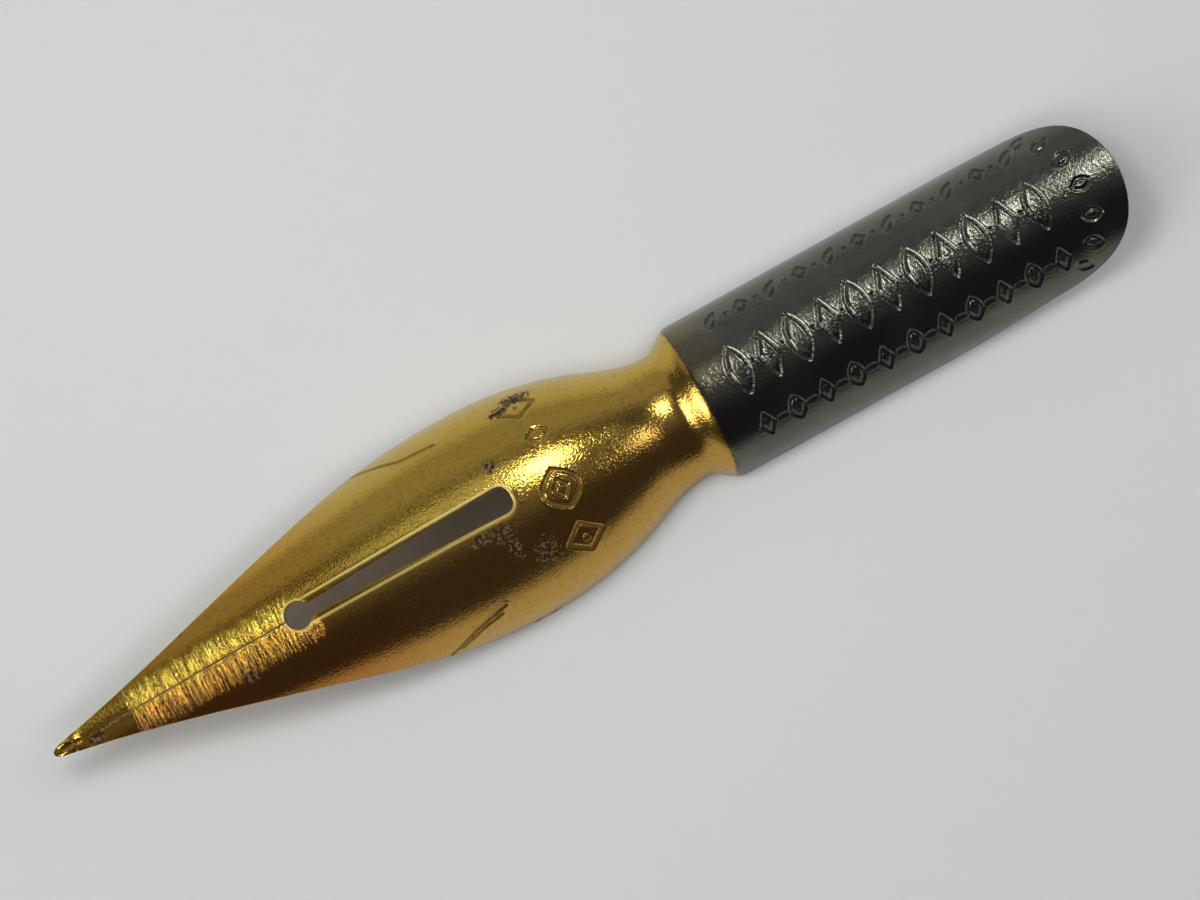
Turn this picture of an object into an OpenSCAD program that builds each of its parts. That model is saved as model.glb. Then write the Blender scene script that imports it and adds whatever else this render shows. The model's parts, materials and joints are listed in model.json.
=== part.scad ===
// Steel dip pen nib, stamped from one sheet: half-round shank, waisted bowl, and two tines that
// spring apart along the slit. Millimetres. The nib lies hollow side down, with its point towards -Y.
// Every cross-section is an arc about one straight axis, which lies on the plane that the nib rests on.

/* [Sheet] */
// Thickness of the spring steel sheet
sheet_t = 0.22; // [0.15:0.01:0.30]
// Length from point to heel
nib_l = 38; // [37:0.5:42]

/* [Shank] */
// Outer radius of the half-round shank
shank_r = 2.67; // [2.4:0.01:2.9]
// Distance of the collar, where the shank begins, from the point
collar_y = 23.3; // [23:0.05:24]
// Length of the heel over which the side edges lift and close
heel_l = 7; // [5:0.5:8]
// Length of the rounded end of the heel
heel_round_l = 3.4; // [2.5:0.1:4]
// Half angle of the sheet where the rounded end begins
heel_angle = 76; // [70:1:84]

/* [Bowl] */
// Outer radius of the bowl at its fullest
bowl_r = 3.56; // [3.3:0.01:3.7]
// Distance of the fullest section from the point
bowl_y = 15.6; // [15:0.1:16]
// Outer radius of the waist between bowl and collar
waist_r = 2.14; // [2:0.01:2.4]
// Distance of the waist from the point
waist_y = 22.2; // [21.8:0.05:22.4]

/* [Point] */
// Height of the crown above the axis at the point
point_r = 1.74; // [1.5:0.02:2]
// Half angle of the sheet at the point
point_angle = 5.2; // [4:0.1:7]
// Growth of the half angle for each millimetre from the point
flare = 5.7; // [5.4:0.05:5.9]
// Length of the small dome pressed into the point
dome_l = 1.3; // [1:0.1:1.6]
// Rise of the small dome
dome_rise = 0.07; // [0:0.01:0.1]

/* [Slit, vent and slot] */
// Gap between the two tines
slit_w = 0.04; // [0.02:0.01:0.1]
// Radius of the round vent at the end of the slit
vent_r = 0.43; // [0.35:0.01:0.5]
// Distance of the vent from the point
vent_y = 8.83; // [8.5:0.01:9.2]
// Distance of the back end of the slot from the point
slot_end_y = 16.4; // [15.5:0.1:17]
// Half width of the slot beside the vent
slot_front_w = 0.19; // [0.1:0.01:0.3]
// Half width of the slot at its back end
slot_back_w = 0.43; // [0.3:0.01:0.5]

/* [Hidden] */
$fn = 96;

// Gap in which each tine turns against the bowl
root_gap = 0.02;
// Corner radius of the slot's back end
slot_corner_r = 0.35;
// Angle over which the flare eases into the half-round section
ease_angle = 6;
// Length of the rounded end of each tine
point_round_l = 0.25;
// Spacing of the sections along the nib
step_y = 0.25;
// Spacing of the sections in the dome
dome_step_y = 0.13;
// Extra reach of the tools that cut and trim
over = 1;
// Reach of the trimming solid, outside every section
reach = 6;

// Crown line of the outer face, as [distance from the point, radius, slope]
CROWN = [
    [0, point_r, 0.13],
    [8.8, 2.90, 0.135],
    [12.2, 3.35, 0.10],
    [bowl_y, bowl_r, 0],
    [20.2, 0.39 * bowl_r + 0.61 * waist_r, -0.42],
    [waist_y, waist_r, 0],
    [collar_y, shank_r, 0],
    [nib_l, shank_r, 0],
];

// Cubic through the end points and slopes of one span of the crown line
function span_r(a, b, u) =
    let (l = b[0] - a[0], u2 = u * u, u3 = u2 * u)
    a[1] * (2 * u3 - 3 * u2 + 1) + b[1] * (3 * u2 - 2 * u3)
        + l * (a[2] * (u3 - 2 * u2 + u) + b[2] * (u3 - u2));

function span_of(y, i = 0) = (i < len(CROWN) - 2 && y > CROWN[i + 1][0]) ? span_of(y, i + 1) : i;

function dome(y) = (y > 0 && y < dome_l) ? dome_rise * pow(sin(180 * y / dome_l), 2) : 0;

// Outer radius at a distance y from the point
function crown_r(y) =
    let (i = span_of(y), a = CROWN[i], b = CROWN[i + 1])
    dome(y) + span_r(a, b, (y - a[0]) / (b[0] - a[0]));

function crown_slope(y) = atan((crown_r(y + 0.01) - crown_r(y - 0.01)) / 0.02);

// The smaller of a and b, with the corner between them rounded over a range of k
function soft_min(a, b, k) = let (h = max(k - abs(a - b), 0) / k) min(a, b) - h * h * k / 4;

// Half angle of the sheet about the axis, from the point to the start of the heel
function side_angle(y) = soft_min(point_angle + flare * y, 90, ease_angle);

// Half angle in the straight part of the heel's taper
function taper_angle(y) = 90 - (90 - heel_angle) * (y - nib_l + heel_l) / (heel_l - heel_round_l);

// The sections of the sheet's outline between two distances, as [distance, half angle]
function side_sections(y0, y1) = [for (y = [y0 : step_y : y1 - step_y / 2]) [y, side_angle(y)], [y1, side_angle(y1)]];

function point_sections() = [
    for (u = [3 : 12 : 75]) [point_round_l * (1 - cos(u)), side_angle(point_round_l) * sin(u)],
];

function heel_sections() = [
    [nib_l - heel_l, 90],
    for (y = [nib_l - heel_l + 0.6 : 0.6 : nib_l - heel_round_l - 0.3]) [y, taper_angle(y)],
    for (u = [0 : 8 : 88]) [nib_l - heel_round_l * (1 - sin(u)), heel_angle * cos(u)],
];

// Puts a shape drawn about Z, from the point upwards, on the nib's own axis
module on_axis() {
    translate([0, -nib_l / 2, 0])
        rotate([-90, 0, 0])
            children();
}

// The sheet as a tube about the axis, from one distance to another, cut square at both ends
module tube(ys) {
    outer = [for (y = ys) [crown_r(y), y]];
    inner = [for (y = ys) [crown_r(y) - sheet_t / cos(crown_slope(y)), y]];
    on_axis()
        rotate_extrude(angle = 200, start = 170)
            polygon(concat(outer, [for (i = [len(ys) - 1 : -1 : 0]) inner[i]]));
}

// Everything inside the sheet's outline: a fan from the axis, whose two sides are the sheet's cut edges.
// The corners just outside the sheet keep those edges even from one section to the next.
module outline_fan(sections) {
    n = len(sections);
    points = [
        for (s = sections)
            let (y = s[0] - nib_l / 2, r = crown_r(s[0]) + 0.05, dx = sin(s[1]), dz = cos(s[1]))
            each [
                [0, y, 0], [r * dx, y, r * dz], [reach * dx, y, reach * dz],
                [0, y, 2 * reach], [-reach * dx, y, reach * dz], [-r * dx, y, r * dz],
            ],
    ];
    sides = [
        for (i = [0 : n - 2], k = [0 : 5])
            let (a = 6 * i + k, b = 6 * i + (k + 1) % 6)
            each [[a, b, b + 6], [a, b + 6, a + 6]],
    ];
    first = [[3, 2, 1], [3, 1, 0], [3, 0, 5], [3, 5, 4]];
    last = [for (f = first) [for (k = [2 : -1 : 0]) 6 * (n - 1) + f[k]]];
    polyhedron(points = points, faces = concat(sides, first, last));
}

// The vent and the tapered slot behind it, as one flat outline
module vent_and_slot() {
    back_y = slot_end_y - slot_corner_r;
    corner_x = slot_back_w - slot_corner_r;
    translate([0, vent_y]) circle(r = vent_r);
    polygon([
        [-slot_front_w, vent_y], [slot_front_w, vent_y],
        [slot_back_w, back_y], [-slot_back_w, back_y],
    ]);
    for (side = [-1, 1]) translate([side * corner_x, back_y]) circle(r = slot_corner_r);
    translate([-corner_x, back_y]) square([2 * corner_x, slot_corner_r]);
}

module vent_and_slot_cutter() {
    translate([0, -nib_l / 2, 0])
        linear_extrude(height = bowl_r + over)
            vent_and_slot();
}

module shank() {
    color([0.20, 0.20, 0.19])
        intersection() {
            tube([collar_y, nib_l]);
            outline_fan(concat([[collar_y - over, 90]], heel_sections()));
        }
}

module bowl() {
    root_y = vent_y + root_gap / 2;
    color([0.80, 0.62, 0.22])
        difference() {
            intersection() {
                tube([for (y = [root_y : step_y : collar_y - step_y / 2]) y, collar_y]);
                outline_fan(side_sections(root_y - over, collar_y + over));
            }
            vent_and_slot_cutter();
        }
}

// One tine, on the side of +X if side is 1, or of -X if it is -1
module tine(side) {
    root_y = vent_y - root_gap / 2;
    near_x = side > 0 ? slit_w / 2 : -slit_w / 2 - reach;
    color([0.80, 0.62, 0.22])
        difference() {
            intersection() {
                tube([
                    for (y = [0 : dome_step_y : dome_l]) y,
                    for (y = [dome_l + step_y : step_y : root_y - step_y / 2]) y,
                    root_y,
                ]);
                outline_fan(concat(point_sections(), side_sections(point_round_l, root_y + over)));
                translate([near_x, -nib_l / 2 - over, 0])
                    cube([reach, vent_y + 2 * over, reach]);
            }
            vent_and_slot_cutter();
        }
}

module left_tine() tine(-1);
module right_tine() tine(1);

shank();
bowl();
left_tine();
right_tine();
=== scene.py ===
"""A steel dip pen nib lying hollow side down: the looks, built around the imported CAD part.

The sheet is built as one surface, over a grid of rows along the nib and columns across it, with the
slit, vent and slot left open. It is given its thickness, rounded edges and stamped marks, and is then
cut into one piece for each CAD node, so that neighbouring pieces share their seams exactly.
Lengths are in millimetres until a mesh is made. A place on the sheet is (s, a): s is the distance from
the point, and a is the distance round the sheet from the crown, positive towards +X.
"""
import json
import math

import bpy
import numpy as np
from mathutils import Matrix, Vector


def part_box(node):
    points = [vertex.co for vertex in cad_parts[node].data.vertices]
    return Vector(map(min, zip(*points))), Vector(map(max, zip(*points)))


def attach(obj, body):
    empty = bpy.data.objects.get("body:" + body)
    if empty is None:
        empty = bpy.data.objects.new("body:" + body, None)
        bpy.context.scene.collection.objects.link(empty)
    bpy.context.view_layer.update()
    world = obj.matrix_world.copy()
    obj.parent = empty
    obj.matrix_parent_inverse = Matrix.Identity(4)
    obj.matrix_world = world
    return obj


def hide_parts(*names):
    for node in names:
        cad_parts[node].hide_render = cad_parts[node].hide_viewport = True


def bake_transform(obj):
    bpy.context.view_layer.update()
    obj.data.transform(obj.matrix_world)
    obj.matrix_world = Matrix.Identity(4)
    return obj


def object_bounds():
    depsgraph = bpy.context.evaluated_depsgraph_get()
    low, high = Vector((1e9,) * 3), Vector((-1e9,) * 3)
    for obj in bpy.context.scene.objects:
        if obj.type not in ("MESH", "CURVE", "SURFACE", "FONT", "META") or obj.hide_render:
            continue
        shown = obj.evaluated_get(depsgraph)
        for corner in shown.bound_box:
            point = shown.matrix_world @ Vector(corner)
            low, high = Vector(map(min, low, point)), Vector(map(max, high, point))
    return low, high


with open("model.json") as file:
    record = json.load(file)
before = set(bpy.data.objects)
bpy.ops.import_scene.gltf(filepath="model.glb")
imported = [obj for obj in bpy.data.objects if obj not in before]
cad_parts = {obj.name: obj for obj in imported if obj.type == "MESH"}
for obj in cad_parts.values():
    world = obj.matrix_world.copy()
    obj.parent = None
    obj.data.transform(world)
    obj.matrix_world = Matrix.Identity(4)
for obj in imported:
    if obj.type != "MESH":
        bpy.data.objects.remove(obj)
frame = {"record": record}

MM = 0.001
cad_low, cad_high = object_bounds()

# ---------------------------------------------------------------- sizes taken from the CAD part


def box_mm(node):
    low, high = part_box(node)
    return low / MM, high / MM


shank_low, shank_high = box_mm("shank")
bowl_low, bowl_high = box_mm("bowl")
tine_low, tine_high = box_mm("left_tine")

POINT_Y = tine_low.y
NIB_L = shank_high.y - POINT_Y
SHANK_R = shank_high.x
BOWL_R = bowl_high.x
COLLAR_S = shank_low.y - POINT_Y
SHEET_T = SHANK_R - frame["record"]["mounts"][0]["dims"]["r_mm"]
VENT_S = round((tine_high.y + bowl_low.y) / 2 - POINT_Y, 2)

# Sizes that the design gives and no box shows
POINT_R = 1.74
BOWL_S = 15.6
WAIST_R = 2.14
WAIST_S = 22.2
POINT_ANGLE = 5.2
FLARE = 5.7
EASE_ANGLE = 6
HEEL_L = 7
HEEL_ROUND_L = 3.4
HEEL_ANGLE = 76
POINT_ROUND_L = 0.25
DOME_L = 1.13
DOME_RISE = 0.09
SLIT_W = 0.02
VENT_R = 0.43
SLOT_END_S = 16.4
SLOT_FRONT_W = 0.19
SLOT_BACK_W = 0.43
SLOT_CORNER_R = 0.35
# Radius of the rounded edges: round the outline, along the slit, and round the vent and slot
OUTLINE_EDGE_R = 0.035
POINT_EDGE_R = 0.015
SLIT_EDGE_R = 0.013
SLOT_EDGE_R = 0.06
# The rounded outline stays this far inside the CAD part's
EDGE_GAP = 0.005
# Where the gilding ends on the collar: at the crown, and how much nearer to the point at the sides
GILT_END_S = 23.18
GILT_END_CURVE = 0.22

# ---------------------------------------------------------------- shape of the sheet

CROWN = (
    (0, POINT_R, 0.13),
    (8.8, 2.90, 0.135),
    (12.2, 3.35, 0.10),
    (BOWL_S, BOWL_R, 0),
    (20.2, 0.39 * BOWL_R + 0.61 * WAIST_R, -0.42),
    (WAIST_S, WAIST_R, 0),
    (COLLAR_S, SHANK_R, 0),
    (NIB_L, SHANK_R, 0),
)


def crown_radius(s):
    """Outer radius of the sheet at distances s: cubics through the stations of CROWN."""
    radius = np.zeros_like(s)
    for (s0, r0, slope0), (s1, r1, slope1) in zip(CROWN, CROWN[1:]):
        span = (s >= s0) & (s <= s1)
        u = (s[span] - s0) / (s1 - s0)
        bend = slope0 * (u**3 - 2 * u**2 + u) + slope1 * (u**3 - u**2)
        radius[span] = r0 + (r1 - r0) * (3 * u**2 - 2 * u**3) + (s1 - s0) * bend
    return radius


def soft_min(a, b, k):
    h = np.maximum(k - np.abs(a - b), 0) / k
    return np.minimum(a, b) - h * h * k / 4


def side_angle(s):
    """Half angle of the sheet, in radians, from the point to where the heel's rounded end begins."""
    angle = soft_min(POINT_ANGLE + FLARE * s, 90.0, EASE_ANGLE)
    rounded = np.clip(s / POINT_ROUND_L, 0, 1)
    angle = angle * np.sqrt(1 - (1 - rounded) ** 2)
    taper = np.clip((s - NIB_L + HEEL_L) / (HEEL_L - HEEL_ROUND_L), 0, 1)
    return np.radians(angle - (90 - HEEL_ANGLE) * taper)


def smooth_step(x, low, high):
    t = np.clip((x - low) / (high - low), 0, 1)
    return t * t * (3 - 2 * t)


def bell(x, width):
    """1 at 0, falling smoothly to nearly 0 at twice the given width."""
    return np.exp(-((x / width) ** 2))


def point_dome(s, x):
    """Height of the dome pressed into the point: two ridges beside the slit, then a full-width hump."""
    along = smooth_step(s, 0.06, 0.52) * (1 - smooth_step(s, DOME_L - 0.45, DOME_L))
    # Level across the slit itself, so that the two tines' edges face straight up there
    beside = np.maximum(np.abs(x) - 0.02, 0)
    ridges = bell(beside - 0.11, 0.085)
    hump = np.exp(-((x / 0.36) ** 4)) * (1 - 0.5 * bell(beside, 0.03))
    ridges_to_hump = smooth_step(s, 0.55, 0.8)
    dip = 1 - 0.2 * bell(s - 0.66, 0.08)
    return DOME_RISE * along * dip * (ridges + (hump - ridges) * ridges_to_hump)


# ---------------------------------------------------------------- rows and columns of the grid

SIDE_COLUMNS = 96
MIDDLE_COLUMNS = 6

vent_r = VENT_R + SLOT_EDGE_R
slot_corner_r = SLOT_CORNER_R + SLOT_EDGE_R
slot_corner_s = SLOT_END_S - SLOT_CORNER_R
slot_corner_x = SLOT_BACK_W - SLOT_CORNER_R
slot_growth = (SLOT_BACK_W - SLOT_FRONT_W) / (slot_corner_s - VENT_S)
quarter = np.linspace(0, math.pi / 2, 17)[:-1]


def spaced(start, stop, step):
    """Distances from start up to stop, without stop itself, about a step apart."""
    return np.linspace(start, stop, max(2, round((stop - start) / step) + 1))[:-1]


def slot_x(s):
    return SLOT_FRONT_W + slot_growth * (s - VENT_S) + SLOT_EDGE_R


# The edge grows rounder from the slit round the front of the vent
vent_front_edge = SLIT_EDGE_R + (SLOT_EDGE_R - SLIT_EDGE_R) * smooth_step(quarter, 0, 0.8)
vent_front_r = VENT_R + vent_front_edge
slot_mouth = math.acos(slot_x(VENT_S + 0.75 * VENT_R) / vent_r)
HEEL_ROWS = 110
heel_turn = np.linspace(0, math.pi / 2, HEEL_ROWS)

row_groups = {
    "point": spaced(POINT_EDGE_R, 0.25, 0.012),
    "dome": spaced(0.25, 1.4, 0.025),
    "slit": spaced(1.4, VENT_S - vent_front_r[0], 0.07),
    "vent_front": VENT_S - vent_front_r * np.cos(quarter),
    "vent_back": VENT_S + vent_r * np.sin(np.linspace(0, slot_mouth, 10)[:-1]),
    "slot": spaced(VENT_S + vent_r * math.sin(slot_mouth), slot_corner_s, 0.07),
    "slot_corner": slot_corner_s + slot_corner_r * np.sin(quarter),
    "bowl_back": spaced(slot_corner_s + slot_corner_r, 17.0, 0.05),
    "bowl_marks": spaced(17.0, 18.8, 0.035),
    "waist": spaced(18.8, GILT_END_S, 0.055),
    "collar": spaced(GILT_END_S, COLLAR_S, 0.03),
    "shank": spaced(COLLAR_S, NIB_L - HEEL_ROUND_L, 0.04),
    "heel": NIB_L - HEEL_ROUND_L + (HEEL_ROUND_L - OUTLINE_EDGE_R - EDGE_GAP) * np.sin(heel_turn),
}
row_s = np.concatenate(list(row_groups.values()))
row_group = np.concatenate([[name] * len(rows) for name, rows in row_groups.items()])
first_row = {name: int(np.argmax(row_group == name)) for name in row_groups}


def at_rows(*names):
    return np.isin(row_group, names)


def edge_radii():
    """Radius of the rounded edge in each row, along the outline and along the slit, vent and slot."""
    point_edge = smooth_step(row_s, 0.3, 2.5)
    outline = POINT_EDGE_R + (OUTLINE_EDGE_R - POINT_EDGE_R) * point_edge
    opening = np.where(row_s < VENT_S, SLIT_EDGE_R, SLOT_EDGE_R)
    opening[at_rows("vent_front")] = vent_front_edge
    return outline, opening


outline_edge, opening_edge = edge_radii()


def inner_edge():
    """Distance from the slit's middle plane to the flat of the sheet, for each row with an opening."""
    x = SLIT_W / 2 * smooth_step(row_s, 0.8, 3.0) + opening_edge
    front, back = at_rows("vent_front"), at_rows("vent_back")
    x[front] = np.maximum(vent_front_r * np.sin(quarter), x[front][0])
    x[back] = np.sqrt(vent_r**2 - (row_s[back] - VENT_S) ** 2)
    x[at_rows("slot")] = slot_x(row_s[at_rows("slot")])
    x[at_rows("slot_corner")] = slot_corner_x + slot_corner_r * np.cos(quarter)
    return x


row_r = crown_radius(row_s)
outer_angle = side_angle(row_s) - (outline_edge + EDGE_GAP) / row_r
heel_angle = math.radians(HEEL_ANGLE) - OUTLINE_EDGE_R / SHANK_R
outer_angle[at_rows("heel")] = heel_angle * np.cos(heel_turn)
inner_angle = np.arcsin(inner_edge() / row_r)
closed = slice(first_row["bowl_back"], None)
inner_angle[closed] = slot_corner_x / BOWL_R * outer_angle[closed] / outer_angle[closed][0]
outer_angle = np.maximum(outer_angle, inner_angle + 0.002)

side = np.linspace(0, 1, SIDE_COLUMNS + 1)[None, :]
middle = np.linspace(-1, 1, MIDDLE_COLUMNS + 1)[None, 1:-1]
right_half = inner_angle[:, None] + (outer_angle - inner_angle)[:, None] * side
theta = np.hstack((-right_half[:, ::-1], inner_angle[:, None] * middle, right_half))
# The heel closes to one point in the grid, and the rounded edge gives it its width
theta[-1] = 0

grid_s = np.repeat(row_s[:, None], theta.shape[1], axis=1)
grid_a = row_r[:, None] * theta

# ---------------------------------------------------------------- stamped marks

MARK_W = 0.15
MARK_DEPTH = 0.05
MARK_LIP = 0.006
CREASE_W = 0.12
CREASE_DEPTH = 0.045
CREASE_LIP = 0.016


def outline(points, closed_up=True):
    """Strokes that join the points in turn."""
    ends = points[1:] + points[:1] if closed_up else points[1:]
    return list(zip(points, ends))


def leaf(s, a, length, width, turn=0.0):
    """A pointed oval, length across the nib and width along it, turned by an angle in degrees."""
    steps = np.linspace(-1, 1, 9)
    bow = [(0.5 * width * (1 - t * t), 0.5 * length * t) for t in steps]
    rim = bow + [(-w, t) for w, t in bow[-2:0:-1]]
    c, k = math.cos(math.radians(turn)), math.sin(math.radians(turn))
    return outline([(s + w * c - t * k, a + w * k + t * c) for w, t in rim])


def lozenge(s, a, length, width):
    return outline([(s + width / 2, a), (s, a + length / 2), (s - width / 2, a), (s, a - length / 2)])


def dot(s, a):
    return [((s - 0.01, a), (s + 0.01, a))]


def shank_marks():
    strokes = []
    pitch = 1.06
    for i in range(11):
        s = 24.55 + pitch * i
        strokes += lozenge(s, -0.1, 1.5, 0.62) if i % 2 else leaf(s, -0.1, 1.62, 0.64)
        strokes += lozenge(s, -2.15, 0.62, 0.42) if i % 2 else leaf(s, -2.15, 0.78, 0.3, 28)
        strokes += leaf(s, 1.95, 0.85, 0.46) if i % 2 else lozenge(s, 1.95, 0.8, 0.4)
        if i < 10:
            between = s + pitch / 2
            strokes += dot(between, -0.1) + dot(between, -2.15)
            strokes += outline([(between - 0.1, 1.95), (between + 0.1, 1.95)], closed_up=False)
    return strokes


def heel_marks():
    """An arc of small leaves that follows the rounded heel."""
    strokes = []
    for turn in range(-60, 61, 20):
        angle = math.radians(turn)
        s, a = 34.75 + 1.95 * math.cos(angle), 3.0 * math.sin(angle)
        strokes += leaf(s, a, 0.62, 0.36, 90 + 0.8 * turn)
    return strokes


def bowl_marks():
    return (
        lozenge(17.85, -2.75, 1.0, 1.25)
        + leaf(18.05, -1.35, 0.5, 0.62)
        + leaf(17.9, 0.55, 1.3, 1.2)
        + lozenge(17.9, 0.55, 0.55, 0.45)
        + lozenge(17.85, 2.35, 1.1, 1.2)
        + dot(17.85, -2.75)
        + dot(17.85, 2.35)
    )


def creases():
    """Shallow bends that handling has left in the sides of the gilt bowl."""
    left = [(12.3, -4.2), (13.3, -3.55), (13.83, -3.2), (15.05, -3.03)]
    right = [(12.4, 4.35), (13.4, 3.66), (14.65, 3.2)]
    beside = [(12.8, 4.25), (13.6, 3.76), (14.4, 3.5)]
    return [stroke for line in (left, right, beside) for stroke in outline(line, closed_up=False)]


def opening_strokes():
    """The rim of the vent and slot, on the +X side."""
    turns = np.linspace(0, math.pi - slot_mouth, 13)
    vent = [(VENT_S - vent_r * math.cos(t), vent_r * math.sin(t)) for t in turns]
    corner = [(slot_corner_s + slot_corner_r * math.sin(t), slot_corner_x + slot_corner_r * math.cos(t))
              for t in quarter[::3]]
    rim = vent + corner + [(slot_corner_s + slot_corner_r, 0.0)]
    return outline(rim, closed_up=False)


def stroke_distance(strokes, reach):
    """Distance from each grid point to the nearest stroke, up to the given reach."""
    nearest = np.full(grid_s.shape, reach)
    for (s0, a0), (s1, a1) in strokes:
        low, high = np.searchsorted(row_s, (min(s0, s1) - reach, max(s0, s1) + reach))
        s, a = grid_s[low:high], grid_a[low:high]
        ds, da = s1 - s0, a1 - a0
        t = np.clip(((s - s0) * ds + (a - a0) * da) / (ds * ds + da * da), 0, 1)
        away = np.hypot(s - s0 - t * ds, a - a0 - t * da)
        nearest[low:high] = np.minimum(nearest[low:high], away)
    return nearest


def pressed(strokes, width, depth, lip):
    """A round-bottomed groove along each stroke, with a slight lip of displaced metal beside it."""
    away = stroke_distance(strokes, 2 * width)
    groove = np.clip(1 - (away / (width / 2)) ** 2, 0, 1) ** 0.8
    bank = bell(away - 0.72 * width, 0.22 * width)
    return lip * bank - depth * groove


marks = pressed(shank_marks() + heel_marks() + bowl_marks(), MARK_W, MARK_DEPTH, MARK_LIP)
bends = pressed(creases(), CREASE_W, CREASE_DEPTH, CREASE_LIP)
# How deep each place lies in a mark, from 0 to 1: dirt gathers there
dirt = np.clip(-marks / MARK_DEPTH - bends / CREASE_DEPTH, 0, 1)

# ---------------------------------------------------------------- other relief

RIM_REACH = 0.4
RIM_BAND = 0.075
ROLL_DEPTH = 0.024
BURR_RISE = 0.016
WEAR_DEPTH = 0.016
FULLER_RISE = 0.08
DISH_DEPTH = 0.035

# The sheet is a little rolled over along one side of the vent and slot, where they were punched
right_rim = opening_strokes()
from_right_rim = stroke_distance(right_rim, RIM_REACH)
rolled = -ROLL_DEPTH * bell(from_right_rim, RIM_BAND)
# On the other side the punch has left a faint burr
left_rim = [((s0, -a0), (s1, -a1)) for (s0, a0), (s1, a1) in right_rim]
from_left_rim = stroke_distance(left_rim, RIM_REACH)
burr = BURR_RISE * bell(from_left_rim, RIM_BAND)
burr *= smooth_step(grid_s, VENT_S + 0.3, VENT_S + 0.6) * (1 - smooth_step(grid_s, 13.6, 14.4))
# How close each place is to the rim of the vent or slot, from 0 to 1: a painted highlight is laid along the
# rim
painted_rim_glint = bell(np.minimum(from_right_rim, from_left_rim), 0.05)
painted_rim_glint[dirt > 0] = 0
# Grinding has worn the metal down a little along the slit
worn = smooth_step(grid_s, 1.0, 1.4) * smooth_step(VENT_S - grid_s, 0.35, 0.5)
worn *= -WEAR_DEPTH * bell(grid_a, 0.085)
# The crown stands slightly fuller than the sides where the bowl runs down to the waist
near_crown = np.cos(grid_a / crown_radius(grid_s)) ** 2
fuller = FULLER_RISE * bell(grid_s - 20.7, 0.8) * near_crown
# The marks round the heel have dished the shank slightly in front of them
dished = -DISH_DEPTH * bell(grid_s - 35.1, 0.9) * near_crown
relief = marks + bends + rolled + burr + worn + fuller + dished

# ---------------------------------------------------------------- surfaces, edges and faces


def on_nib(s, angle, radius):
    return np.stack([radius * np.sin(angle), s + POINT_Y, radius * np.cos(angle)], axis=-1)


def unit(v):
    return v / np.maximum(np.linalg.norm(v, axis=-1, keepdims=True), 1e-12)


def grid_normals(points):
    along, across = np.gradient(points, axis=0), np.gradient(points, axis=1)
    normal = unit(np.cross(across, along))
    normal[0], normal[-1] = normal[1], normal[-2]
    return normal


base_r = row_r[:, None] + point_dome(grid_s, grid_a)
base = on_nib(grid_s, theta, base_r)
top = on_nib(grid_s, theta, base_r + relief)
base_normal, top_normal = grid_normals(base), grid_normals(top)
bottom = base - SHEET_T * base_normal

rows, columns = theta.shape
index = np.arange(rows * columns).reshape(rows, columns)
index[-1] = index[-1, 0]


def piece_of(row, column):
    if row >= first_row["collar"]:
        return "shank"
    if row >= first_row["vent_back"]:
        return "bowl"
    return "left_tine" if column < columns // 2 else "right_tine"


def surface_faces():
    """Each face of the outer surface as (corners, piece)."""
    faces = []
    for i in range(rows - 1):
        for j in range(columns - 1):
            open_here = SIDE_COLUMNS <= j < columns - 1 - SIDE_COLUMNS
            if open_here and i < first_row["bowl_back"]:
                continue
            corners = (index[i, j], index[i, j + 1], index[i + 1, j + 1], index[i + 1, j])
            faces.append((tuple(dict.fromkeys(int(c) for c in corners)), piece_of(i, j)))
    return [face for face in faces if len(face[0]) > 2]


def edge_faces(faces):
    """The pieces on each side of every directed edge."""
    owners = {}
    for corners, piece in faces:
        for a, b in zip(corners, corners[1:] + corners[:1]):
            owners[a, b] = piece
    return owners


faces = surface_faces()
owners = edge_faces(faces)
border = {a: b for (a, b) in owners if (b, a) not in owners}
start = next(iter(border))
loop = [start]
while border[loop[-1]] != start:
    loop.append(border[loop[-1]])

points = top.reshape(-1, 3)
normals = top_normal.reshape(-1, 3)
loop_points = base.reshape(-1, 3)[loop]
loop_normals = base_normal.reshape(-1, 3)[loop]
heading = unit(np.roll(loop_points, -1, axis=0) - np.roll(loop_points, 1, axis=0))
outward = unit(np.cross(heading, loop_normals))
loop_rows, loop_columns = np.divmod(loop, columns)
at_opening = (loop_columns >= SIDE_COLUMNS) & (loop_columns <= columns - 1 - SIDE_COLUMNS)
at_opening &= loop_rows <= first_row["bowl_back"]
loop_edge = np.where(at_opening, opening_edge[loop_rows], outline_edge[loop_rows])[:, None]

# Angles of the vertices round the outer edge, in degrees, and then round the inner edge in reverse
ROUND_STEPS = (30, 60, 90)
# Strength of the painted rim highlight on the rounded edge
PAINTED_GLINT_EDGE = 0.7
rim_points, rim_normals = [], []
for lower in (False, True):
    for step in (ROUND_STEPS if not lower else ROUND_STEPS[::-1]):
        c, k = math.cos(math.radians(step)), math.sin(math.radians(step))
        if lower:
            start_points, up = loop_points - SHEET_T * loop_normals, -loop_normals
        else:
            start_points, up = loop_points, loop_normals
        rim_points.append(start_points + loop_edge * (k * outward - (1 - c) * up))
        rim_normals.append(k * outward + c * up)

count = rows * columns
all_points = np.concatenate([points, bottom.reshape(-1, 3)] + rim_points)
all_normals = np.concatenate([normals, -base_normal.reshape(-1, 3)] + rim_normals)
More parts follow.
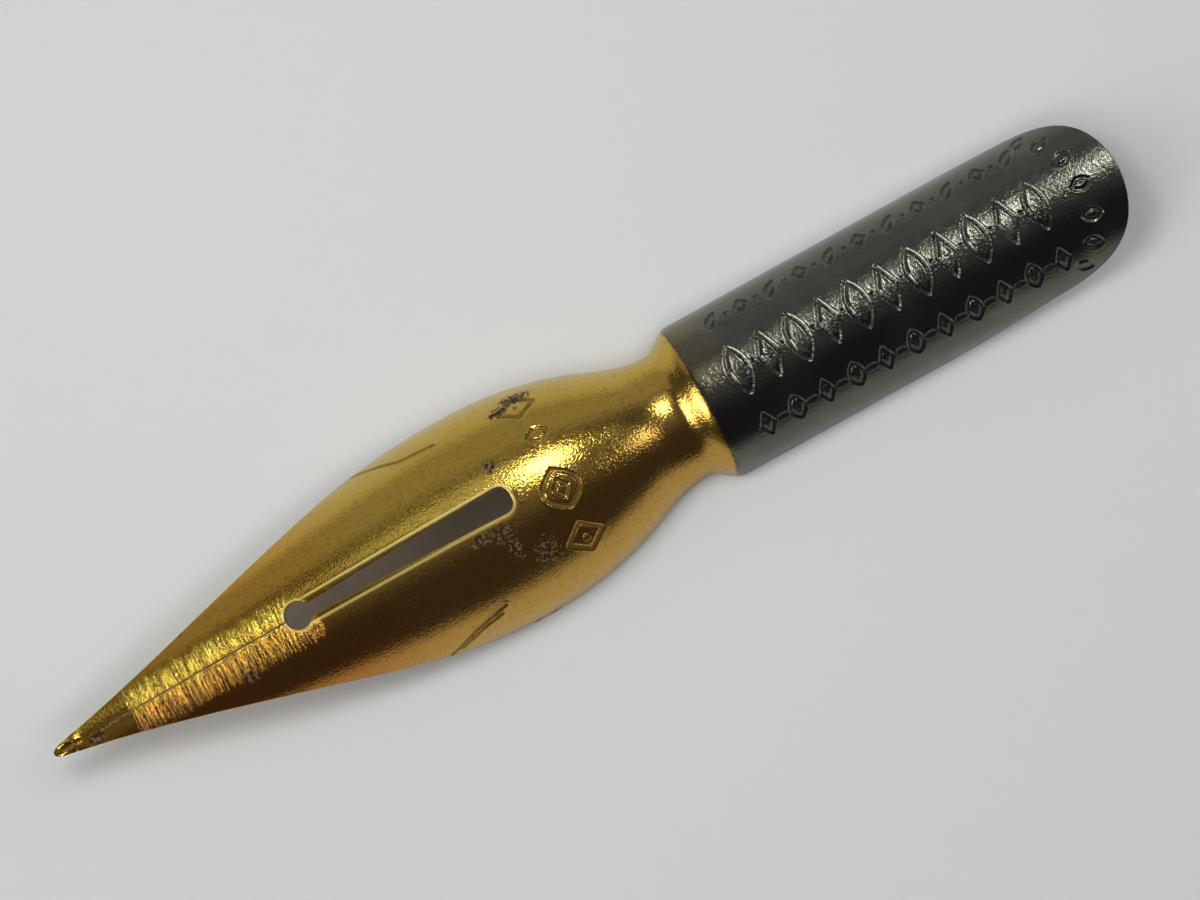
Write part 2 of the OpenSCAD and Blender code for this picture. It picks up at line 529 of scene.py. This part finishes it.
# One number holds both: dirt above 0, and the painted highlight along the rim below 0, fainter on the
# rounded edge
all_dirt_and_glint = np.zeros(2 * count + len(rim_points) * len(loop))
all_dirt_and_glint[:count] = (dirt - painted_rim_glint).ravel()
all_dirt_and_glint[2 * count : 2 * count + len(loop)] = -PAINTED_GLINT_EDGE * painted_rim_glint.ravel()[loop]
flat_sheet = np.stack([grid_s, grid_a, np.ones_like(grid_s)], axis=-1).reshape(-1, 3)
under_sheet = flat_sheet * (1, 1, 0)
rim_sheet = [flat_sheet[loop] * (1, 1, 0.5)] * len(rim_points)
all_sheet = np.concatenate([flat_sheet, under_sheet] + rim_sheet)

place_in_loop = {vertex: k for k, vertex in enumerate(loop)}


def rim_column(vertex):
    """The vertices down the sheet's edge, from the outer surface to the inner one."""
    k = place_in_loop[vertex]
    between = [2 * count + layer * len(loop) + k for layer in range(len(rim_points))]
    return [vertex] + between + [vertex + count]


def piece_faces(name):
    """Faces of one closed piece, and for each whether it is a flat cut where the piece ends."""
    made = []
    for corners, piece in faces:
        if piece == name:
            made.append((corners, False))
            made.append((tuple(c + count for c in reversed(corners)), False))
    for (a, b), piece in owners.items():
        if piece != name:
            continue
        if (b, a) not in owners:
            down_a, down_b = rim_column(a), rim_column(b)
            for k in range(len(down_a) - 1):
                made.append(((down_b[k], down_a[k], down_a[k + 1], down_b[k + 1]), False))
        elif owners[b, a] != name:
            made.append(((b, a, a + count, b + count), True))
            if a in place_in_loop:
                made.append((tuple(rim_column(a)), True))
            if b in place_in_loop:
                made.append((tuple(reversed(rim_column(b))), True))
    return made


def make_piece(name, material):
    """The visible mesh of one CAD node, with smooth surfaces and flat cut faces."""
    made = piece_faces(name)
    used = np.unique(np.concatenate([corners for corners, _ in made]))
    renumber = {int(old): new for new, old in enumerate(used)}
    mesh = bpy.data.meshes.new(name + "_sheet")
    mesh.from_pydata(
        (all_points[used] * MM).tolist(), [],
        [[renumber[int(c)] for c in corners] for corners, _ in made],
    )
    mesh.polygons.foreach_set("use_smooth", [True] * len(made))
    sheet = mesh.attributes.new("sheet", "FLOAT_VECTOR", "POINT")
    sheet.data.foreach_set("vector", all_sheet[used].astype(np.float32).ravel())
    # This attribute carries the dirt in the marks and the painted highlight along the rims
    dirt_and_glint = mesh.attributes.new("dirt_and_glint", "FLOAT", "POINT")
    dirt_and_glint.data.foreach_set("value", all_dirt_and_glint[used].astype(np.float32))
    corner_normals = []
    for polygon, (corners, cut) in zip(mesh.polygons, made):
        for c in corners:
            corner_normals.append(tuple(polygon.normal) if cut else tuple(all_normals[int(c)]))
    mesh.normals_split_custom_set(corner_normals)
    mesh.materials.append(material)
    piece = bpy.data.objects.new(name + "_skin", mesh)
    bpy.context.scene.collection.objects.link(piece)
    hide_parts(name)
    return piece


# ---------------------------------------------------------------- materials


class Shader:
    """A new material with one principled shader, and short calls that add and link its nodes."""

    def __init__(self, name):
        self.material = bpy.data.materials.new(name)
        self.material.use_nodes = True
        self.tree = self.material.node_tree
        self.surface = self.tree.nodes["Principled BSDF"]
        place = self.node("ShaderNodeAttribute", attribute_name="sheet")
        self.sheet = place.outputs["Vector"]
        axes = self.node("ShaderNodeSeparateXYZ", {"Vector": self.sheet})
        self.s, self.a, self.upper = axes.outputs
        # Dirt in the marks, and the painted highlight along the rims
        self.dirt_and_glint = self.node("ShaderNodeAttribute", attribute_name="dirt_and_glint").outputs["Fac"]

    def node(self, kind, links=None, **settings):
        node = self.tree.nodes.new(kind)
        for name, value in settings.items():
            setattr(node, name, value)
        for socket, value in (links or {}).items():
            if isinstance(value, bpy.types.NodeSocket):
                self.tree.links.new(value, node.inputs[socket])
            else:
                node.inputs[socket].default_value = value
        return node

    def math(self, operation, *values):
        node = self.node("ShaderNodeMath", dict(enumerate(values)), operation=operation)
        return node.outputs[0]

    def ramp(self, value, low, high, to_low=0.0, to_high=1.0):
        """value taken smoothly from low..high to to_low..to_high."""
        links = {"Value": value, "From Min": low, "From Max": high, "To Min": to_low, "To Max": to_high}
        return self.node("ShaderNodeMapRange", links, interpolation_type="SMOOTHSTEP").outputs[0]

    def noise(self, per_mm, stretch=(1, 1, 1), detail=3.0, roughness=0.55, shift=0.0):
        place = self.node(
            "ShaderNodeMapping", {"Vector": self.sheet, "Scale": stretch, "Location": (shift, shift, shift)}
        )
        links = {"Vector": place.outputs[0], "Scale": per_mm, "Detail": detail, "Roughness": roughness}
        return self.node("ShaderNodeTexNoise", links).outputs[0]

    def mix(self, factor, a, b):
        node = self.node("ShaderNodeMix", data_type="RGBA")
        for socket, value in zip((node.inputs[0], node.inputs[6], node.inputs[7]), (factor, a, b)):
            if isinstance(value, bpy.types.NodeSocket):
                self.tree.links.new(value, socket)
            elif isinstance(value, (int, float)):
                socket.default_value = value
            else:
                socket.default_value = (*value, 1.0)
        return node.outputs[2]

    def blot(self, s, a, size_s, size_a):
        """1 at the place (s, a) on the sheet, falling to 0 at about the given sizes."""
        ds = self.math("DIVIDE", self.math("SUBTRACT", self.s, s), size_s)
        da = self.math("DIVIDE", self.math("SUBTRACT", self.a, a), size_a)
        square = self.math("ADD", self.math("MULTIPLY", ds, ds), self.math("MULTIPLY", da, da))
        return self.math("SUBTRACT", 1.0, self.math("MINIMUM", square, 1.0))

    def bump(self, height, distance, normal=None):
        links = {"Height": height, "Distance": distance * MM, "Strength": 1.0}
        if normal is not None:
            links["Normal"] = normal
        return self.node("ShaderNodeBump", links).outputs[0]

    def finish(self, colour, metallic, roughness, normal):
        self.surface.inputs["Specular IOR Level"].default_value = 0.1
        for socket, value in (
            ("Base Color", colour), ("Metallic", metallic), ("Roughness", roughness), ("Normal", normal)
        ):
            if isinstance(value, bpy.types.NodeSocket):
                self.tree.links.new(value, self.surface.inputs[socket])
            else:
                self.surface.inputs[socket].default_value = value
        return self.material


GOLD = (0.62, 0.385, 0.085)
GREEN_GOLD = (0.63, 0.415, 0.072)
BROWN_GOLD = (0.62, 0.345, 0.056)
RED_GOLD = (0.57, 0.245, 0.048)
# Paler gold of the ground strips, also carrying a painted sheen
GROUND_GOLD_AND_SHEEN = (0.86, 0.62, 0.09)
# Colour of the painted highlight along the rims of the vent and slot
PAINTED_GLINT_GOLD = (1.0, 0.77, 0.25)
TARNISH = (0.13, 0.065, 0.032)
PIT = (0.018, 0.009, 0.004)
RUST = (0.25, 0.15, 0.085)
STEEL = (0.135, 0.132, 0.110)
WORN_STEEL = (0.18, 0.174, 0.142)
BRASSY_STEEL = (0.21, 0.16, 0.075)

# Where the gilding has broken down: (s, a, size along, size across)
BLOTS = (
    (17.95, -3.3, 0.75, 0.5),
    (17.3, -2.95, 0.5, 0.3),
    (16.25, -1.15, 0.3, 0.35),
    (14.95, 0.75, 0.55, 0.3),
    (15.6, 0.95, 0.6, 0.4),
    (15.75, 1.5, 0.3, 0.6),
    (16.6, 2.2, 0.55, 0.7),
    (1.45, 0.2, 0.4, 0.28),
    (6.6, 0.95, 0.35, 0.3),
    (11.75, 4.5, 0.35, 0.3),
    (15.3, 5.4, 0.25, 0.3),
    (15.9, 5.45, 0.3, 0.25),
)


def grinding(g):
    """How far each place lies in the cross-ground strips beside the slit, from 0 to 1."""
    ragged = g.math("MULTIPLY", g.math("SUBTRACT", g.noise(5.0, (1, 0.2, 1)), 0.5), 0.8)
    reach = g.ramp(g.a, -0.1, 0.1, 0.8, 1.05)
    beside = g.math("SUBTRACT", g.math("ADD", reach, ragged), g.math("ABSOLUTE", g.a))
    start = g.math("ADD", g.s, g.math("MULTIPLY", ragged, 0.7))
    ground = g.math("MULTIPLY", g.ramp(beside, -0.05, 0.2), g.ramp(start, 2.65, 2.95))
    last = g.ramp(g.a, -0.2, 0.2, 8.7, 9.35)
    ground = g.math("MULTIPLY", ground, g.math("LESS_THAN", g.math("ADD", g.s, ragged), last))
    return g.math("MULTIPLY", ground, g.math("GREATER_THAN", g.upper, 0.75))


def pitting(g, worms):
    """Where dark pits and a few lone specks break the gilding, from 0 to 1."""
    patch = g.blot(*BLOTS[0])
    for place in BLOTS[1:]:
        patch = g.math("MAXIMUM", patch, g.blot(*place))
    crust = g.math("ADD", worms, g.math("MULTIPLY", patch, 0.32))
    pits = g.math("MULTIPLY", g.ramp(crust, 0.68, 0.71), g.ramp(patch, 0.0, 0.15))
    specks = g.ramp(g.noise(5.0, detail=2.0, roughness=0.5, shift=3.0), 0.735, 0.76)
    return g.math("MAXIMUM", pits, g.math("MULTIPLY", specks, 0.8))


def past_gilding(g, wander):
    """Distance in mm past the end of the gilding, which is curved and a little uneven."""
    round_share = g.math("DIVIDE", g.a, math.pi / 2 * SHANK_R)
    curve = g.math("MULTIPLY", g.math("MULTIPLY", round_share, round_share), GILT_END_CURVE)
    uneven = g.math("MULTIPLY", g.math("SUBTRACT", wander, 0.5), 0.12)
    return g.math("ADD", g.math("SUBTRACT", g.math("ADD", g.s, curve), GILT_END_S), uneven)


def gilt():
    """Thin gilding on steel: glossy, a little mottled, cross-ground beside the slit, with dark pits, a
    painted sheen on the ground strips and a painted highlight along the rims of the vent and slot.
    """
    g = Shader("gilt")
    mottle = g.noise(0.55, detail=4.0)
    lean = g.math("ADD", g.a, g.math("MULTIPLY", g.math("SUBTRACT", mottle, 0.5), 4.0))
    colour = g.mix(g.ramp(lean, -2.2, 1.0), GREEN_GOLD, GOLD)
    forward = g.math("ADD", g.s, g.math("MULTIPLY", mottle, 2.0))
    colour = g.mix(g.ramp(forward, 9.5, 13.5, 1.0, 0.0), colour, BROWN_GOLD)
    red = g.math("MULTIPLY", g.ramp(lean, 0.0, 1.5), g.ramp(forward, 10.0, 15.0, 1.0, 0.25))
    colour = g.mix(red, colour, RED_GOLD)

    stain = g.noise(6.0, detail=3.0, roughness=0.6, shift=11.0)
    colour = g.mix(g.ramp(stain, 0.5, 0.75, 0.0, 0.4), colour, TARNISH)

    ground = grinding(g)
    scores = g.noise(4.6, (2.3, 0.12, 1), detail=3.0, roughness=0.65)
    worms = g.noise(8.0, detail=3.0, roughness=0.6, shift=7.0)
    pits = pitting(g, worms)
    dark = g.math("MAXIMUM", pits, g.math("MULTIPLY", g.dirt_and_glint, 0.55))
    # The ground strips are paler gold: partly the ground metal's own colour, and partly a painted sheen,
    # much stronger on the -X side, towards the window light
    ground_colour_and_sheen = g.math("MULTIPLY", g.ramp(g.a, -0.25, 0.2, 0.8, 0.1), ground)
    colour = g.mix(ground_colour_and_sheen, colour, GROUND_GOLD_AND_SHEEN)
    colour = g.mix(g.math("MULTIPLY", g.ramp(scores, 0.38, 0.62, 0.6, 0.0), ground), colour, TARNISH)
    # Painted highlight: the rims of the vent and slot are coloured bright gold
    painted_rim_glint = g.math("MAXIMUM", g.math("MULTIPLY", g.dirt_and_glint, -1.0), 0.0)
    colour = g.mix(g.math("MULTIPLY", painted_rim_glint, 0.9), colour, PAINTED_GLINT_GOLD)
    colour = g.mix(g.math("MULTIPLY", dark, 0.95), colour, PIT)
    crust = g.ramp(g.noise(7.5, detail=1.0, roughness=0.5, shift=13.0), 0.49, 0.55)
    crust = g.math("MULTIPLY", crust, pits)
    colour = g.mix(g.math("MULTIPLY", crust, 0.8), colour, RUST)

    # Beyond the gilding the collar is bare dark steel, with a dirty line where they meet
    fine = g.noise(6.0, detail=3.0)
    past = past_gilding(g, fine)
    bare = g.ramp(past, -0.01, 0.01)
    line = g.math("SUBTRACT", 1.0, g.math("MINIMUM", g.math("DIVIDE", g.math("ABSOLUTE", past), 0.06), 1.0))
    colour = g.mix(bare, colour, STEEL)
    colour = g.mix(g.math("MULTIPLY", line, g.ramp(worms, 0.4, 0.55, 0.3, 1.0)), colour, TARNISH)

    roughness = g.math("ADD", g.ramp(mottle, 0.3, 0.7, 0.17, 0.22), g.math("MULTIPLY", ground, 0.04))
    roughness = g.math("MAXIMUM", roughness, g.math("MULTIPLY", dark, 0.45))
    peel = g.noise(8.0, detail=2.0, roughness=0.6)
    grain = g.noise(16.0, detail=2.0, roughness=0.6)
    normal = g.bump(grain, 0.0045, g.bump(peel, 0.0085))
    score = g.math("MULTIPLY", g.math("SUBTRACT", scores, 0.5), ground)
    normal = g.bump(score, 0.075, normal)
    normal = g.bump(crust, 0.02, normal)
    # Dirt isn't metallic, and the rims are made partly non-metallic so that the fill lights brighten them,
    # a painted highlight
    dirt_and_glint_unmetal = g.math("MULTIPLY", g.math("MAXIMUM", dark, painted_rim_glint), 0.6)
    return g.finish(colour, g.math("SUBTRACT", 1.0, dirt_and_glint_unmetal), roughness, normal)


def dark_steel():
    """Blued spring steel, satin, with fine grain and lighter wear."""
    g = Shader("dark_steel")
    wear = g.noise(0.7, detail=5.0, roughness=0.6)
    colour = g.mix(g.ramp(wear, 0.45, 0.75), STEEL, WORN_STEEL)
    stain = g.ramp(g.math("ADD", g.s, g.math("MULTIPLY", wear, 2.0)), 24.6, 25.8, 0.55, 0.0)
    colour = g.mix(g.math("MULTIPLY", stain, g.ramp(g.a, -1.0, 0.5, 1.0, 0.0)), colour, BRASSY_STEEL)
    specks = g.ramp(g.noise(6.0, detail=2.0, roughness=0.5, shift=5.0), 0.72, 0.76)
    dark = g.math("MAXIMUM", g.math("MULTIPLY", specks, 0.6), g.math("MULTIPLY", g.dirt_and_glint, 0.3))
    colour = g.mix(dark, colour, (0.08, 0.07, 0.06))
    roughness = g.ramp(wear, 0.3, 0.7, 0.17, 0.21)
    grain = g.noise(9.0, detail=3.0, roughness=0.65)
    streaks = g.noise(4.0, (0.25, 3.0, 1), detail=4.0, roughness=0.6)
    normal = g.bump(streaks, 0.004, g.bump(grain, 0.014))
    return g.finish(colour, 1.0, roughness, normal)


def plain(name, colour, roughness):
    material = bpy.data.materials.new(name)
    material.use_nodes = True
    surface = material.node_tree.nodes["Principled BSDF"]
    surface.inputs["Base Color"].default_value = (*colour, 1.0)
    surface.inputs["Roughness"].default_value = roughness
    return material


# ---------------------------------------------------------------- the nib's pieces

gilt_metal, dark_metal = gilt(), dark_steel()

for name, material, slot in (("shank", dark_metal, "dark_steel"), ("bowl", gilt_metal, "gilt")):
    rigid = make_piece(name, material)
    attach(rigid, "body")

# Each tine reaches from the point back to beside the vent
for name in ("left_tine", "right_tine"):
    tine = make_piece(name, gilt_metal)
    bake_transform(tine)

# ---------------------------------------------------------------- floor, lights and camera

FLOOR_HALF = 0.6
FLOOR_GAP = 0.00002
floor_z = cad_low.z - FLOOR_GAP
floor_mesh = bpy.data.meshes.new("floor")
corners = [(x * FLOOR_HALF, y * FLOOR_HALF, floor_z) for x, y in ((-1, -1), (1, -1), (1, 1), (-1, 1))]
floor_mesh.from_pydata(corners, [], [(0, 1, 2, 3)])
floor_mesh.materials.append(plain("floor", (0.775, 0.80, 0.775), 0.55))
floor = bpy.data.objects.new("floor", floor_mesh)
bpy.context.scene.collection.objects.link(floor)

world = bpy.data.worlds.new("world")
world.use_nodes = True
world.node_tree.nodes["Background"].inputs[0].default_value = (0.050, 0.045, 0.055, 1.0)
bpy.context.scene.world = world


def softbox(name, tilt_x, tilt_y, distance, width, height, radiance, colour=(1, 1, 1)):
    """A rectangular light seen from the nib at the given angles from straight up, in degrees."""
    light = bpy.data.lights.new(name, "AREA")
    light.shape = "RECTANGLE"
    light.size, light.size_y = width, height
    light.energy = radiance * math.pi * width * height
    light.color = colour
    lamp = bpy.data.objects.new(name, light)
    towards = Vector((math.tan(math.radians(tilt_x)), math.tan(math.radians(tilt_y)), 1)).normalized()
    lamp.location = towards * distance
    lamp.rotation_mode = "QUATERNION"
    lamp.rotation_quaternion = towards.to_track_quat("Z", "Y")
    bpy.context.scene.collection.objects.link(lamp)
    return lamp


softbox("sky", -29, -8, 0.6, 0.32, 0.14, 0.85, (0.90, 1.0, 0.94))
softbox("ceiling", 6, 0, 0.7, 0.9, 0.34, 0.085)
softbox("left_wall", -68, 0, 0.8, 1.6, 0.60, 0.31)

# These show in the metal, and add nothing to the floor
for shine in (
    softbox("window", -20, 19.5, 0.6, 0.10, 0.09, 34.0, (0.93, 1.0, 0.95)),
    softbox("back_lamp", 9, 50, 0.7, 0.12, 0.10, 7.0),
    softbox("front_lamp", 6, -57, 0.8, 0.34, 0.28, 7.5),
):
    shine.visible_diffuse = False

# These light the floor, and don't show in the metal
for fill in (
    softbox("key_fill", -17, -10, 0.085, 0.034, 0.034, 4.95),
    softbox("side_fill", 27, 0, 0.3, 0.25, 0.10, 1.9),
    softbox("front_fill", -6, -52, 0.4, 0.30, 0.28, 1.66),
    softbox("back_fill", -6, 52, 0.4, 0.30, 0.28, 1.66),
):
    fill.visible_glossy = False

CAMERA_DISTANCE = 0.150
# The camera leans from straight above, and the heel points up and to the right in the picture
TILT = math.radians(6.2)
TILT_TOWARDS = math.radians(-10.4)
HEEL_IN_VIEW = math.radians(28.95)
LENS = 143.3

target = Vector((-0.1, 0.56, 1.5)) * MM
back = Vector((
    math.sin(TILT) * math.cos(TILT_TOWARDS), math.sin(TILT) * math.sin(TILT_TOWARDS), math.cos(TILT)
))
heel = Vector((0, 1, 0))
heel = (heel - heel.dot(back) * back).normalized()
across = back.cross(heel)
view_x = math.cos(HEEL_IN_VIEW) * heel - math.sin(HEEL_IN_VIEW) * across
view_y = back.cross(view_x)
camera = bpy.data.objects.new("camera", bpy.data.cameras.new("camera"))
camera.data.lens = LENS
camera.data.sensor_width = 36.0
camera.data.clip_start, camera.data.clip_end = 0.005, 10.0
camera.matrix_world = Matrix.Translation(target + back * CAMERA_DISTANCE) @ Matrix(
    (view_x, view_y, back)
).transposed().to_4x4()
bpy.context.scene.collection.objects.link(camera)
bpy.context.scene.camera = camera
bpy.context.scene.view_settings.view_transform = "Standard"

bpy.context.view_layer.update()
